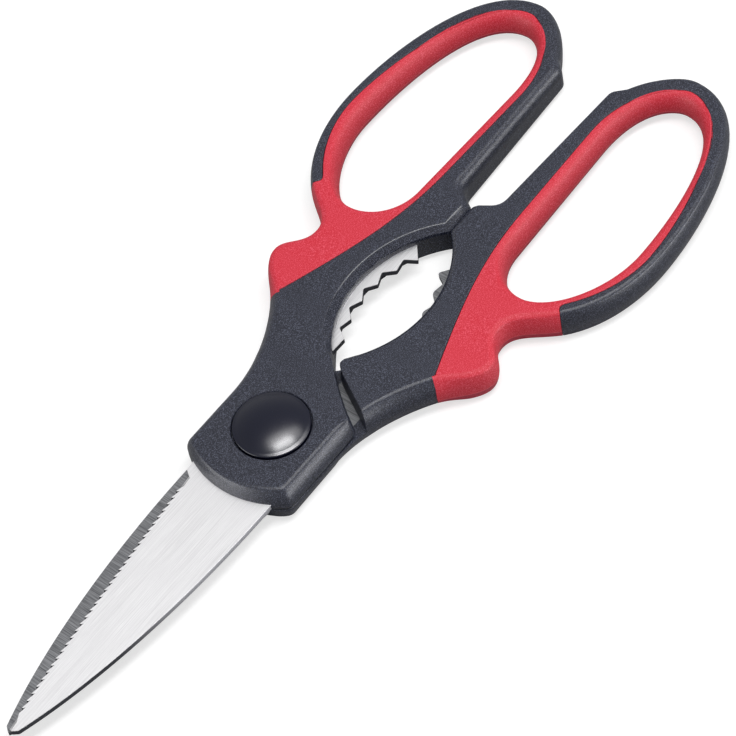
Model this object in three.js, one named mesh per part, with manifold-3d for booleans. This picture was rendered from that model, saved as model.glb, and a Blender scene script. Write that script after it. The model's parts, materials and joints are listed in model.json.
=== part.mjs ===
// Household scissors with soft-lined finger loops, closed and lying flat, in millimetres.
// X is the long axis with the blade tips at -X, Z is up, and the pivot axis is the Z axis.
// A half is drawn as the front one, with z counted from the plane where the blades slide.
// The rear half is the same half turned over about X.

import * as THREE from 'three';
import { mergeVertices } from 'three/addons/utils/BufferGeometryUtils.js';
import Module from 'manifold-3d';

// Fits
const slideGap = 0.16;
const stopGap = 0.2;
const fitClearance = 0.15;
const seamGap = 0.12;

// Hub: the plastic plate over the pivot
const hubHalfHeight = 4.65;
const hubHalfWidth = 14.2;
const hubNoseReach = 17.2;
const hubNoseRadius = 23;
const hubCorner = 1.6;
const hubLowerLength = 7.5;
const edgeChamfer = 2.3;
const edgeChamferDepth = 4;

// Oval opening with the gripping teeth
const ovalX = 41.2;
const ovalRise = 9;
const ovalRadius = 28.3;
const ovalStartX = ovalX - Math.sqrt(ovalRise * (2 * ovalRadius - ovalRise));
const stopNoseEnd = 69.8;

// Flank of the hub and the shoulder of the other half that it parts from
const flankFoot = new THREE.Vector2(11.2, -12.2);
const flankHeading = 60;
const shoulderOuter = new THREE.Vector2(12.6, 14.8);
const shoulderInner = new THREE.Vector2(ovalStartX - 2.1, 4.7);
const shoulderCorner = new THREE.Vector2(ovalStartX + 0.9, 2.4);

// Arm and finger loop, placed from the loop's end and its widest point
const loopReach = 124.7;
const loopHalfSpan = 43.7;
const armInnerStart = new THREE.Vector2(73, 5.3);
const armInnerEnd = new THREE.Vector2(loopReach - 13.5, 6.7);
const loopHeel = new THREE.Vector2(loopReach - 10.7, 9.2);
const loopMiddle = loopHalfSpan / 2;
const loopEndY = loopMiddle - 0.35;
const loopEndHold = 0.748 * (loopHalfSpan - loopEndY);
const loopCrownX = loopReach - 43.7;
const loopHalfHeight = 2.4;
const taperStart = 10;
const rimStart = new THREE.Vector2(53.8, loopHalfSpan - 11.4);
const rimHeading = 52;
const rimHold = 0.4 * (loopCrownX - rimStart.x);

// Finger rest in front of the loop
const notchX = 46.1;
const notchFloor = 25.5;
const nubX = 37.2;
const nubPeak = 30.1;
const flareEnd = new THREE.Vector2(28.2, 24);
const flareHeading = 39.8;
const flareStartX = 3;

// Finger hole and its soft lining
const rimAtCrown = 4.8;
const rimAtEnd = 6.5;
const holeLeft = 56.4;
const holeLeftY = loopMiddle + 0.55;
const holeTop = loopHalfSpan - rimAtCrown;
const holeTopX = loopReach - 45.7;
const holeRight = loopReach - rimAtEnd;
const holeRightY = loopMiddle + 0.15;
const holeFloorEnd = new THREE.Vector2(loopReach - 24.7, 12);
const holeFloorStart = new THREE.Vector2(67, 12.9);
const holeHold = 0.46 * (holeTopX - holeLeft);
const holeEndHold = 0.722 * (holeTop - holeRightY);
const liningCrown = 2.2;
const liningEnd = 2.6;
const liningFloor = 2.3;

// Seam between the soft grip and the hard handle, along the arm and across the rim
const seamOuter = new THREE.Vector2(27.4, 21.9);
const seamArm = new THREE.Vector2(31.5, 20.3);
const seamArmEnd = new THREE.Vector2(66, 10.8);
const seamRimInner = new THREE.Vector2(58.2, loopHalfSpan - 10.3);
const seamRimOuter = new THREE.Vector2(54.6, loopHalfSpan - 9.6);

// Hard web that carries the soft finger rest
const webThickness = 3;
const webMargin = 2.6;

// Blade and tang
const bladeThickness = 1.4;
const bladeReach = 85.4;
const bladeTipSpine = new THREE.Vector2(-84.5, -1.8);
const bladeTipEdge = new THREE.Vector2(-84.9, 0.5);
const spineRoot = 10.75;
const edgeRoot = 10.1;
const edgeRootX = -18.5;
const heelStep = 0.4;
const heelSlope = 1.5;
const rootEdgeHeading = 186.4;
const tipEdgeHeading = 189.6;
const edgeReach = 22;
const tipSpineHeading = -18;
const spineReach = 21;
const grindWidth = 1;
const grindLand = 0.3;
const serrationCount = 35;
const serrationPitch = 1.7;
const serrationDepth = 0.3;
const serrationStartX = -22;
const tangHubRadius = 11.2;
const tangWidth = 9.2;
const tangNeckOuter = new THREE.Vector2(12.2, 12.2);
const tangNeckInner = new THREE.Vector2(ovalStartX - 2.5, 2.9);
const tangEnd = new THREE.Vector2(57.5, 6.2);
const toothCount = 6;
const toothStep = 12;
const toothFirst = 58.6;
const toothCentreX = 39.6;
const toothTip = 5.8;
const toothDepth = 1.6;
const rearToothSetback = 0.65;

// Pivot
const shaftRadius = 3;
const headRadius = 5.1;
const headThickness = 1.2;
const washerRadius = 5;
const washerThickness = 0.5;
const nutAcross = 8;
const nutHeight = 2;
const chamberRadius = 6.7;
const capRadius = 8.65;
const capRecessDepth = 1.2;
const capRecessGap = 0.3;
const capRise = 2.6;
const capWall = 1.1;
const capSkirtWall = 0.9;

// How far a cutting shape runs past what it cuts
const overrun = 2;

// Smoothness of curves
const bendSteps = 12;
const roundSteps = 40;
const softEdgeSteps = 4;
const hardEdgeSteps = 2;
const domeSteps = 5;

const wasm = await Module();
wasm.setup();

const bladeBottom = slideGap / 2;
const bladeTop = bladeBottom + bladeThickness;
const ovalCentre = new THREE.Vector2(ovalX, ovalRise - ovalRadius);
const farAway = 4 * loopReach;

function radians(degrees) {
  return THREE.MathUtils.degToRad(degrees);
}

function heading(degrees, length) {
  return new THREE.Vector2(Math.cos(radians(degrees)), Math.sin(radians(degrees))).multiplyScalar(length);
}

// A chain of points in the plan, drawn as lines, arcs and bends.
// A bend leaves on one heading and arrives on another, and holds each for its reach.
class Outline {
  constructor(start) {
    this.points = [start.clone()];
  }

  line(x, y) {
    this.points.push(new THREE.Vector2(x, y));
    return this;
  }

  lineTo(point) {
    return this.line(point.x, point.y);
  }

  bend(to, leave, leaveReach, arrive, arriveReach) {
    const from = this.points.at(-1);
    const pullOut = from.clone().add(heading(leave, leaveReach));
    const pullIn = to.clone().sub(heading(arrive, arriveReach));
    const curve = new THREE.CubicBezierCurve(from, pullOut, pullIn, to);
    this.points.push(...curve.getPoints(bendSteps).slice(1));
    return this;
  }

  arc(centre, radius, startAngle, endAngle, clockwise) {
    const curve = new THREE.EllipseCurve(
      centre.x, centre.y, radius, radius, startAngle, endAngle, clockwise);
    this.points.push(...curve.getPoints(2 * bendSteps).slice(1));
    return this;
  }
}

// Points moved sideways by a distance: to the right of the direction of travel
function shifted(points, distance) {
  const last = points.length - 1;
  return points.map((point, i) => {
    const before = points[Math.max(i - 1, 0)];
    const after = points[Math.min(i + 1, last)];
    const along = after.clone().sub(before).normalize();
    return new THREE.Vector2(point.x + along.y * distance, point.y - along.x * distance);
  });
}

function solid(geometry) {
  geometry.deleteAttribute('normal');
  geometry.deleteAttribute('uv');
  const welded = mergeVertices(geometry, 1e-4);
  const index = welded.index.array;
  const triangles = [];
  for (let i = 0; i < index.length; i += 3) {
    const [a, b, c] = index.subarray(i, i + 3);
    if (a !== b && b !== c && c !== a) triangles.push(a, b, c);
  }
  return new wasm.Manifold(new wasm.Mesh({
    numProp: 3,
    vertProperties: new Float32Array(welded.attributes.position.array),
    triVerts: new Uint32Array(triangles),
  }));
}

function prism(points, bottom, top) {
  const geometry = new THREE.ExtrudeGeometry(new THREE.Shape(points), {
    depth: top - bottom,
    bevelEnabled: false,
  });
  geometry.translate(0, 0, bottom);
  return solid(geometry);
}

function turned(profile) {
  const points = profile.map(([radius, z]) => new THREE.Vector2(radius, z));
  const geometry = new THREE.LatheGeometry(points, roundSteps);
  geometry.rotateX(Math.PI / 2);
  return solid(geometry);
}

function cylinder(radius, bottom, top) {
  return turned([[0, bottom], [radius, bottom], [radius, top], [0, top]]);
}

function part(name, body, material) {
  const { vertProperties, triVerts } = body.getMesh();
  const geometry = new THREE.BufferGeometry();
  geometry.setAttribute('position', new THREE.BufferAttribute(vertProperties, 3));
  geometry.setIndex(new THREE.BufferAttribute(triVerts, 1));
  geometry.computeVertexNormals();
  const mesh = new THREE.Mesh(geometry, material);
  mesh.name = name;
  return mesh;
}

// Plan of one half

const noseCentre = new THREE.Vector2(hubNoseRadius - hubNoseReach, 0);
const noseAngle = Math.asin((hubHalfWidth - hubCorner) / hubNoseRadius);
const cornerReach = hubCorner / Math.cos(noseAngle);
const noseTopX = noseCentre.x - hubNoseRadius * Math.cos(noseAngle);
const noseCornerX = noseTopX + cornerReach * (1 + Math.sin(noseAngle));
const ovalStartAngle = Math.PI - Math.asin(-ovalCentre.y / ovalRadius);
const ovalEndAngle = Math.asin((stopGap / 2 - ovalCentre.y) / ovalRadius);
const ovalStart = new THREE.Vector2(ovalStartX, 0);
const ovalStartHeading = THREE.MathUtils.radToDeg(ovalStartAngle) - 90;
const loopEnd = new THREE.Vector2(loopReach, loopEndY);

// Outer contour from the loop's end over the crown, the finger rest and the hub nose
function outerContour(outline) {
  const noseTurn = THREE.MathUtils.radToDeg(noseAngle);
  const hold = 0.6 * cornerReach;
  const noseTop = new THREE.Vector2(noseTopX, hubHalfWidth - hubCorner);
  const noseEnd = new THREE.Vector2(noseCornerX, -hubHalfWidth);
  outline.bend(new THREE.Vector2(loopCrownX, loopHalfSpan), 90, loopEndHold, 180, 16.4);
  outline.bend(rimStart, 180, rimHold, 180 + rimHeading, rimHold);
  outline.bend(new THREE.Vector2(notchX, notchFloor), 180 + rimHeading, 5, 180, 3.4);
  outline.bend(new THREE.Vector2(nubX, nubPeak), 180, 4.2, 180, 4);
  outline.bend(flareEnd, 180, 3.6, 180 + flareHeading, 3.6);
  outline.bend(new THREE.Vector2(flareStartX, hubHalfWidth), 180 + flareHeading, 7.2, 180, 9.6);
  outline.line(noseCornerX, hubHalfWidth);
  outline.bend(noseTop, 180, hold, 270 - noseTurn, hold);
  outline.arc(noseCentre, hubNoseRadius, Math.PI - noseAngle, Math.PI + noseAngle, false);
  outline.bend(noseEnd, 270 + noseTurn, hold, 0, hold);
  outline.points.pop();
  return outline;
}

// Edge of the half as seen in plan, with its straight-walled flank and inner arm
function halfPlan() {
  const outline = new Outline(new THREE.Vector2(noseCornerX, -hubHalfWidth));
  outline.line(hubLowerLength, -hubHalfWidth);
  outline.bend(flankFoot, 0, 2, flankHeading, 1.6);
  outline.bend(ovalStart, flankHeading, 5, ovalStartHeading, 4);
  outline.arc(ovalCentre, ovalRadius, ovalStartAngle, ovalEndAngle, true);
  outline.line(stopNoseEnd, stopGap / 2);
  outline.lineTo(armInnerStart);
  outline.lineTo(armInnerEnd);
  outline.lineTo(loopHeel);
  outline.bend(loopEnd, 12, 5.3, 90, 4.7);
  return outerContour(outline).points;
}

// The same edge without flank and inner arm, so that only the handled edges are chamfered
function chamferPlan() {
  const outline = new Outline(new THREE.Vector2(noseCornerX, -hubHalfWidth));
  outline.line(ovalStart.x - edgeChamfer, -hubHalfWidth);
  outline.lineTo(ovalStart);
  outline.arc(ovalCentre, ovalRadius, ovalStartAngle, ovalEndAngle, true);
  outline.line(loopReach, stopGap / 2);
  outline.lineTo(loopEnd);
  return outerContour(outline).points;
}

// Finger hole, or a ring round it that is wider by its own amount at the crown, ends and floor
function fingerHole(crown, end, floor) {
  const floorHeading = THREE.MathUtils.radToDeg(holeFloorEnd.clone().sub(holeFloorStart).angle());
  const start = new THREE.Vector2(holeFloorStart.x, holeFloorStart.y - floor);
  const outline = new Outline(start);
  outline.line(holeFloorEnd.x, holeFloorEnd.y - floor);
  outline.bend(new THREE.Vector2(holeRight + end, holeRightY), floorHeading, 14.5, 90, 3);
  outline.bend(new THREE.Vector2(holeTopX, holeTop + crown), 90, holeEndHold, 180, 14.5);
  outline.bend(new THREE.Vector2(holeLeft - end, holeLeftY), 180, holeHold, 270, 5.5);
  outline.bend(start, 270, 5.5, floorHeading, 6);
  outline.points.pop();
  return outline.points;
}

// Soft region in front of the loop, open past the outer contour
function fingerRest(gap) {
  const seamHeading = -20;
  const farPast = edgeChamfer + 2 * overrun;
  const outline = new Outline(seamOuter.clone().add(heading(90 + flareHeading, farPast)));
  outline.lineTo(seamOuter);
  outline.bend(seamArm, flareHeading - 90, 1, seamHeading, 2);
  outline.bend(seamArmEnd, seamHeading, 13, -6, 10);
  const armSide = shifted(outline.points, gap);
  const rim = new Outline(seamRimInner);
  rim.bend(seamRimOuter, 200, 1.4, 90 + rimHeading, 1.6);
  rim.lineTo(seamRimOuter.clone().add(heading(90 + rimHeading, farPast)));
  const rimSide = shifted(rim.points, gap);
  const inside = [new THREE.Vector2(holeFloorStart.x, holeLeftY), new THREE.Vector2(holeTopX, holeRightY)];
  const past = new THREE.Vector2(seamOuter.x, 2 * loopHalfSpan);
  return [...armSide, ...inside, ...rimSide, past];
}

function softZone(gap, height) {
  const ring = prism(fingerHole(liningCrown + gap, liningEnd + gap, liningFloor + gap), -height, height);
  return ring.add(prism(fingerRest(gap), -height, height));
}

// Web inside the finger rest, set in from the outer contour and from the finger hole
function webZone(grow) {
  const height = webThickness / 2 + grow;
  const contour = outerContour(new Outline(loopEnd)).points;
  const inset = shifted(contour, grow - webMargin);
  const body = prism([
    ...inset.filter((point, i) => contour[i].x < loopCrownX && contour[i].x > flareStartX),
    new THREE.Vector2(flareStartX, armInnerStart.y),
    new THREE.Vector2(loopCrownX, armInnerStart.y),
  ], -height, height);
  const left = flareEnd.x - grow;
  const right = seamRimInner.x + grow;
  const window = prism([
    new THREE.Vector2(left, armInnerStart.y + liningFloor),
    new THREE.Vector2(right, armInnerStart.y + liningFloor),
    new THREE.Vector2(right, loopHalfSpan),
    new THREE.Vector2(left, loopHalfSpan),
  ], -height, height);
  const inside = webMargin - grow;
  const hole = prism(fingerHole(inside, inside, inside), -height, height);
  return body.intersect(window).subtract(hole);
}

// Steel: blade, hub disc and tang in one stamping

function toothPoint(angle, depth) {
  const radius = toothTip - ovalCentre.y + depth;
  return new THREE.Vector2(toothCentreX, ovalCentre.y).add(heading(angle, radius));
}

// Tang from the hub along the arm; its slot has no teeth and runs out into the oval
function tangPlan(grow, toothed, setback) {
  const outerRadius = toothTip + toothDepth - ovalCentre.y + tangWidth + grow;
  const endAngle = THREE.MathUtils.radToDeg(tangEnd.clone().sub(ovalCentre).angle());
  const outline = new Outline(new THREE.Vector2(0, 0));
  const lastTooth = toothFirst + (toothCount - 1) * toothStep;
  outline.line(tangNeckInner.x + grow, tangNeckInner.y - grow);
  if (toothed) {
    for (let i = toothCount - 1; i >= 0; i -= 1) {
      const angle = toothFirst + i * toothStep;
      outline.lineTo(toothPoint(angle + toothStep / 2, setback + toothDepth));
      outline.lineTo(toothPoint(angle, setback));
    }
  } else {
    outline.lineTo(toothPoint(lastTooth + toothStep / 2, 0));
    outline.lineTo(toothPoint(toothFirst, -toothDepth));
  }
  outline.line(tangEnd.x + grow, tangEnd.y - grow);
  outline.lineTo(ovalCentre.clone().add(heading(endAngle, outerRadius)));
  outline.arc(ovalCentre, outerRadius, radians(endAngle), radians(lastTooth), false);
  outline.line(tangNeckOuter.x, tangNeckOuter.y + grow);
  outline.line(0, tangHubRadius + grow);
  return outline.points;
}

// Cutting edge from the root to the tip, with fine teeth where they are cut
function edgeLine(serrated) {
  const root = new THREE.Vector2(edgeRootX, edgeRoot - heelStep);
  const curve = new THREE.CubicBezierCurve(
    root,
    root.clone().add(heading(rootEdgeHeading, edgeReach)),
    bladeTipEdge.clone().sub(heading(tipEdgeHeading, edgeReach)),
    bladeTipEdge);
  if (!serrated) return curve.getPoints(2 * bendSteps);
  const points = [root];
  for (let i = 0; i < 2 * serrationCount; i += 1) {
    const x = serrationStartX - i * serrationPitch / 2;
    const share = (root.x - x) / (root.x - bladeTipEdge.x);
    const notch = i % 2 === 0 ? 0 : serrationDepth;
    points.push(new THREE.Vector2(x, curve.getPoint(share).y - notch));
  }
  points.push(bladeTipEdge);
  return points;
}

function bladePlan(serrated) {
  const outline = new Outline(new THREE.Vector2(0, -spineRoot));
  outline.line(0, edgeRoot);
  outline.line(edgeRootX + heelSlope, edgeRoot);
  outline.points.push(...edgeLine(serrated));
  outline.line(-bladeReach, (bladeTipEdge.y + bladeTipSpine.y) / 2);
  outline.lineTo(bladeTipSpine);
  outline.bend(new THREE.Vector2(-hubNoseReach, -spineRoot), tipSpineHeading, spineReach, 0, spineReach);
  return outline.points;
}

// Wedge that grinds the cutting edge down to a thin land on the sliding face
function grindCut() {
  const edge = edgeLine(false);
  const inner = shifted(edge, -grindWidth);
  const outer = shifted(edge, grindWidth);
  const count = edge.length;
  const low = bladeBottom + grindLand;
  const high = bladeTop + overrun;
  const rise = (high - low) / (bladeTop - low);
  const positions = [];
  const index = [];
  edge.forEach((point, i) => {
    const slope = point.clone().lerp(inner[i], rise);
    positions.push(point.x, point.y, low, slope.x, slope.y, high);
    positions.push(outer[i].x, outer[i].y, high, outer[i].x, outer[i].y, low);
  });
  for (let i = 0; i + 1 < count; i += 1) {
    for (let k = 0; k < 4; k += 1) {
      const a = 4 * i + k;
      const b = 4 * i + (k + 1) % 4;
      index.push(a, b, a + 4, b, b + 4, a + 4);
    }
  }
  const last = 4 * (count - 1);
  index.push(0, 2, 1, 0, 3, 2, last, last + 1, last + 2, last, last + 2, last + 3);
  const geometry = new THREE.BufferGeometry();
  geometry.setAttribute('position', new THREE.Float32BufferAttribute(positions, 3));
  geometry.setIndex(index);
  return solid(geometry);
}

function bladeBody(serrated, setback) {
  const blade = prism(bladePlan(serrated), bladeBottom, bladeTop).subtract(grindCut());
  const tang = prism(tangPlan(0, true, setback), bladeBottom, bladeTop);
  const disc = cylinder(tangHubRadius, bladeBottom, bladeTop);
  const bore = cylinder(shaftRadius + fitClearance, -hubHalfHeight, hubHalfHeight);
  return blade.add(tang).add(disc).subtract(bore);
}

// Room for the steel in the plastic
function bladePocket() {
  const low = bladeBottom - fitClearance;
  const high = bladeTop + fitClearance;
  const root = prism([
    new THREE.Vector2(-bladeReach, -spineRoot - fitClearance),
    new THREE.Vector2(0, -spineRoot - fitClearance),
    new THREE.Vector2(0, edgeRoot + fitClearance),
    new THREE.Vector2(-bladeReach, edgeRoot + fitClearance),
  ], low, high);
  const disc = cylinder(tangHubRadius + fitClearance, low, high);
  return root.add(disc).add(prism(tangPlan(fitClearance, false, 0), low, high));
}

// Plastic of one half

// Side profile: flat over the hub, then thinner towards the loop's end
function tapered() {
  const end = loopReach + overrun;
  const fall = (hubHalfHeight - loopHalfHeight) / (loopReach - taperStart);
  const endHeight = hubHalfHeight - fall * (end - taperStart);
  const profile = new THREE.Shape([
    new THREE.Vector2(-farAway, -hubHalfHeight),
    new THREE.Vector2(taperStart, -hubHalfHeight),
    new THREE.Vector2(end, -endHeight),
    new THREE.Vector2(end, endHeight),
    new THREE.Vector2(taperStart, hubHalfHeight),
    new THREE.Vector2(-farAway, hubHalfHeight),
  ]);
  const geometry = new THREE.ExtrudeGeometry(profile, { depth: 2 * farAway, bevelEnabled: false });
  geometry.translate(0, 0, -farAway);
  geometry.rotateX(Math.PI / 2);
  return solid(geometry);
}

// A plate as thick as the hub, with its upper and lower edges rounded down
function roundedPlate(shape, segments) {
  const geometry = new THREE.ExtrudeGeometry(shape, {
    depth: 2 * (hubHalfHeight - edgeChamferDepth),
    bevelEnabled: true,
    bevelThickness: edgeChamferDepth,
    bevelSize: edgeChamfer,
    bevelOffset: -edgeChamfer,
    bevelSegments: segments,
  });
  geometry.translate(0, 0, edgeChamferDepth - hubHalfHeight);
  return solid(geometry);
}

// The half's rounded edge, and the finger hole's in a plate that is wider than the half
function chamfered(segments) {
  const around = new THREE.Shape([
    new THREE.Vector2(-farAway, -farAway),
    new THREE.Vector2(farAway, -farAway),
    new THREE.Vector2(farAway, farAway),
    new THREE.Vector2(-farAway, farAway),
  ]);
  around.holes.push(new THREE.Path(fingerHole(0, 0, 0).reverse()));
  return roundedPlate(new THREE.Shape(chamferPlan()), segments).intersect(roundedPlate(around, segments));
}

// Below the sliding plane a half has no hub: it starts at its shoulder
function lowerCut() {
  const outline = new Outline(new THREE.Vector2(shoulderOuter.x, farAway));
  outline.line(-farAway, farAway);
  outline.line(-farAway, -farAway);
  outline.line(shoulderCorner.x + edgeChamfer, -farAway);
  outline.line(shoulderCorner.x + edgeChamfer, shoulderCorner.y - edgeChamfer);
  outline.lineTo(shoulderCorner);
  outline.bend(shoulderInner, 165, 1.2, 125, 1.4);
  outline.bend(shoulderOuter, 122, 3, 117, 3);
  return prism(outline.points, -farAway, slideGap / 2);
}

function halfBody(segments) {
  return prism(halfPlan(), -hubHalfHeight, hubHalfHeight)
    .intersect(chamfered(segments))
    .intersect(tapered())
    .subtract(lowerCut());
}

function pivotSeat() {
  const recess = cylinder(capRadius + capRecessGap, hubHalfHeight - capRecessDepth, 2 * hubHalfHeight);
  return cylinder(chamberRadius, -hubHalfHeight, hubHalfHeight).add(recess);
}

const handleBody = halfBody(hardEdgeSteps)
  .subtract(softZone(seamGap, hubHalfHeight + overrun))
  .add(halfBody(hardEdgeSteps).intersect(webZone(0)))
  .subtract(bladePocket())
  .subtract(pivotSeat());

const gripBody = halfBody(softEdgeSteps)
  .intersect(softZone(0, hubHalfHeight + overrun))
  .subtract(webZone(seamGap))
  .subtract(bladePocket());

// Pivot pieces, drawn for the side of the half that carries them

const capUnderside = hubHalfHeight - capRecessDepth + fitClearance;
const skirtRadius = chamberRadius - fitClearance;
const skirtInside = skirtRadius - capSkirtWall;
const skirtEnd = bladeTop + 2 * fitClearance;

function domeCap() {
  const dome = (capRadius ** 2 + capRise ** 2) / (2 * capRise);
  const centre = hubHalfHeight + capRise - dome;
  const height = (radius, sphere) => centre + Math.sqrt(sphere ** 2 - radius ** 2);
  const profile = [];
  for (let i = 0; i <= domeSteps; i += 1) {
    const radius = skirtInside * i / domeSteps;
    profile.push([radius, height(radius, dome - capWall)]);
  }
  profile.push([skirtInside, skirtEnd], [skirtRadius, skirtEnd]);
  profile.push([skirtRadius, capUnderside], [capRadius, capUnderside]);
  for (let i = domeSteps; i >= 0; i -= 1) {
    const radius = capRadius * i / domeSteps;
    profile.push([radius, height(radius, dome)]);
  }
  return turned(profile);
}

function flatCap() {
  return turned([
    [0, capUnderside],
    [skirtInside, capUnderside],
    [skirtInside, skirtEnd],
    [skirtRadius, skirtEnd],
    [skirtRadius, capUnderside],
    [capRadius, capUnderside],
    [capRadius, hubHalfHeight],
    [0, hubHalfHeight],
  ]);
}

// Bolt: its head bears on the rear blade, its shaft passes both blades into the nut
const washerBottom = bladeTop + fitClearance;
const nutBottom = washerBottom + washerThickness + fitClearance;

function boltBody() {
  const headTop = -bladeTop - fitClearance;
  const head = cylinder(headRadius, headTop - headThickness, headTop);
  const shaft = cylinder(shaftRadius, headTop - headThickness / 2, nutBottom + nutHeight);
  return head.add(shaft);
}

function washerBody() {
  const bore = shaftRadius + fitClearance;
  return turned([
    [bore, washerBottom],
    [washerRadius, washerBottom],
    [washerRadius, washerBottom + washerThickness],
    [bore, washerBottom + washerThickness],
    [bore, washerBottom],
  ]);
}

function nutBody() {
  const corner = nutAcross / 2 / Math.cos(Math.PI / 6);
  const sides = [0, 60, 120, 180, 240, 300].map((angle) => heading(angle, corner));
  return prism(sides, nutBottom, nutBottom + nutHeight)
    .subtract(cylinder(shaftRadius + fitClearance, 0, 2 * hubHalfHeight));
}

const steel = { color: 0xd9dadc, roughness: 0.32, metalness: 1 };
const blackPlastic = { color: 0x2b2d33, roughness: 0.62, metalness: 0 };
const redRubber = { color: 0xc93745, roughness: 0.6, metalness: 0 };
const glossPlastic = { color: 0x14161b, roughness: 0.12, metalness: 0 };

function finish(look) {
  return new THREE.MeshStandardMaterial(look);
}

const frontHalf = new THREE.Group();
frontHalf.position.z = hubHalfHeight;
frontHalf.add(
  part('front_blade', bladeBody(true, 0), finish(steel)),
  part('front_handle', handleBody, finish(blackPlastic)),
  part('front_grip', gripBody, finish(redRubber)),
  part('dome_cap', domeCap(), finish(glossPlastic)),
  part('pivot_bolt', boltBody(), finish(steel)),
  part('spring_washer', washerBody(), finish(steel)),
  part('pivot_nut', nutBody(), finish(steel)),
);

const rearHalf = new THREE.Group();
rearHalf.position.z = hubHalfHeight;
rearHalf.rotation.x = Math.PI;
rearHalf.add(
  part('rear_blade', bladeBody(false, rearToothSetback), finish(steel)),
  part('rear_handle', handleBody, finish(blackPlastic)),
  part('rear_grip', gripBody, finish(redRubber)),
  part('back_cap', flatCap(), finish(glossPlastic)),
);

const scissors = new THREE.Group();
scissors.add(frontHalf, rearHalf);

export default scissors;
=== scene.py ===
# %% [markdown]
# # Household scissors
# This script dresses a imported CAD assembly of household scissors. Two steel stampings turn on one pivot.
# Each sits in a hard black moulding with a soft red grip. We rebuild the visible pieces with rounder
# edges than the CAD has, give each a procedural finish, and light them on a plain white table.

# %% Load the frame
import json
import math

import bmesh
import bpy
from mathutils import Matrix, Vector
from mathutils.geometry import interpolate_bezier, intersect_line_line_2d


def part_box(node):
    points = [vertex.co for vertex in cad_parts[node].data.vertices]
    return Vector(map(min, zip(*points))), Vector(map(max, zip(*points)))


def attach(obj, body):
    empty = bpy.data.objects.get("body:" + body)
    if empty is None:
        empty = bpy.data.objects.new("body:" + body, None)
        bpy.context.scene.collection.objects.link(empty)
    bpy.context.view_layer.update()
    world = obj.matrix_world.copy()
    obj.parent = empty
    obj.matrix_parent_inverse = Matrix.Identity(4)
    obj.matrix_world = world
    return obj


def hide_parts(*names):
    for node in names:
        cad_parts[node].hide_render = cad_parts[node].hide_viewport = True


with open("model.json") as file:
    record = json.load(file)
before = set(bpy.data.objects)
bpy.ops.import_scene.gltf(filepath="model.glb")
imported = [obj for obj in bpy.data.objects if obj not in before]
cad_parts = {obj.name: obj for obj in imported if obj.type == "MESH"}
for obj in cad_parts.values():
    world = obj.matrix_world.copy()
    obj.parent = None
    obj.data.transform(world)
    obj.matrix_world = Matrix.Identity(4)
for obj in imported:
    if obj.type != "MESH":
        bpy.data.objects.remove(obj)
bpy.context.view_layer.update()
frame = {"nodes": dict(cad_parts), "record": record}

MM = 0.001
print("CAD pieces:", ", ".join(sorted(frame["nodes"])))

# %% [markdown]
# ## Sizes
# All sizes are millimetres in the plan of one half. X runs from the tips to the finger loops, and z counts
# from the plane where the blades slide. The rear half is the same half turned over about X, so every
# shape is drawn once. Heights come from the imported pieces, so the new shapes fit the old ones.

# %% Sizes
HUB_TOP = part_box("front_handle")[1].z / MM
HALF = HUB_TOP / 2
LOOP_HALF = 3.1
TAPER_START = 10
SLIDE = 0.08

HUB_WIDTH = 14.2
NOSE_RADIUS = 23
NOSE_CENTRE = Vector((5.8, 0))
FLANK_FOOT = Vector((11.2, -12.2))
FLANK_HEADING = 60

OVAL_RADIUS = 28.3
OVAL_CENTRE = Vector((41.2, -19.3))
OVAL_START = Vector((20.5, 0))
STOP = 0.1
STOP_END = Vector((69.8, STOP))

ARM_START = Vector((73, 5.3))
ARM_END = Vector((111.9, 6.7))
HEEL = Vector((114.5, 9.5))
LOOP_END = Vector((125.2, 21.5))
CROWN = Vector((81, 43.4))
RIM_START = Vector((53.8, 32.3))
NOTCH = Vector((46.1, 25.5))
NUB = Vector((37.2, 30.1))
FLARE_END = Vector((28.2, 24))
FLARE_START = Vector((3, HUB_WIDTH))

FLOOR_START = Vector((67, 13.7))
FLOOR_END = Vector((100, 12.8))
HOLE_RIGHT = Vector((118.3, 22))
HOLE_TOP = Vector((79, 37.4))
HOLE_LEFT = Vector((56.4, 23.4))
LINING_CROWN, LINING_END, LINING_FLOOR = 3.5, 2.9, 3.1

ARM_SEAM = [Vector((24.3, 24.2)), Vector((29.4, 20.9))]
ARM_JOIN_SHARE = 0.21
RIM_SEAM, RIM_SEAM_RUN, RIM_SEAM_HEADING = Vector((54.55, 34.85)), 3.3, -38
RIM_JOIN_X, RIM_JOIN_ABOVE = 59.8, 26
# How many points of the finger rest take on the side profile of the rim, and of the arm
RIM_FADE, ARM_FADE = 7, 9

SHOULDER = [Vector((10.5, 17.6)), Vector((18.0, 4.5)), Vector((20.2, 1.8)), Vector((22.9, 2.0))]
SHOULDER_RUN = 0.4
# The outline keeps this distance from the ends of the shoulder, so that no short edges arise there
SHOULDER_CLEAR = 2.6

CAP_RADIUS = 8.4
RECESS_RADIUS = 8.7
RECESS_DEPTH = 1.2
CHAMBER_RADIUS = 6.7
BORE_RADIUS = 3.15
BLADE_LOW, BLADE_HIGH = SLIDE, SLIDE + 1.4

FRONT = Matrix.Translation((0, 0, HALF * MM)) @ Matrix.Scale(MM, 4)
REAR = Matrix.Translation((0, 0, HALF * MM)) @ Matrix.Rotation(math.pi, 4, "X") @ Matrix.Scale(MM, 4)
print("hub thickness", round(HUB_TOP, 2), "mm")


# %% [markdown]
# ## Drawing in the plan
# An outline is a chain of points made of lines, arcs and bends. A bend is a cubic Bezier curve that leaves
# on one heading and arrives on another. Each point also carries the kind of edge that starts at it, because
# a handled edge is rounded, a wall is straight, and a seam only has a fine groove. A kind can fade into
# another one along a curve. A point can also carry a radius, which rounds the corner there.

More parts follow.
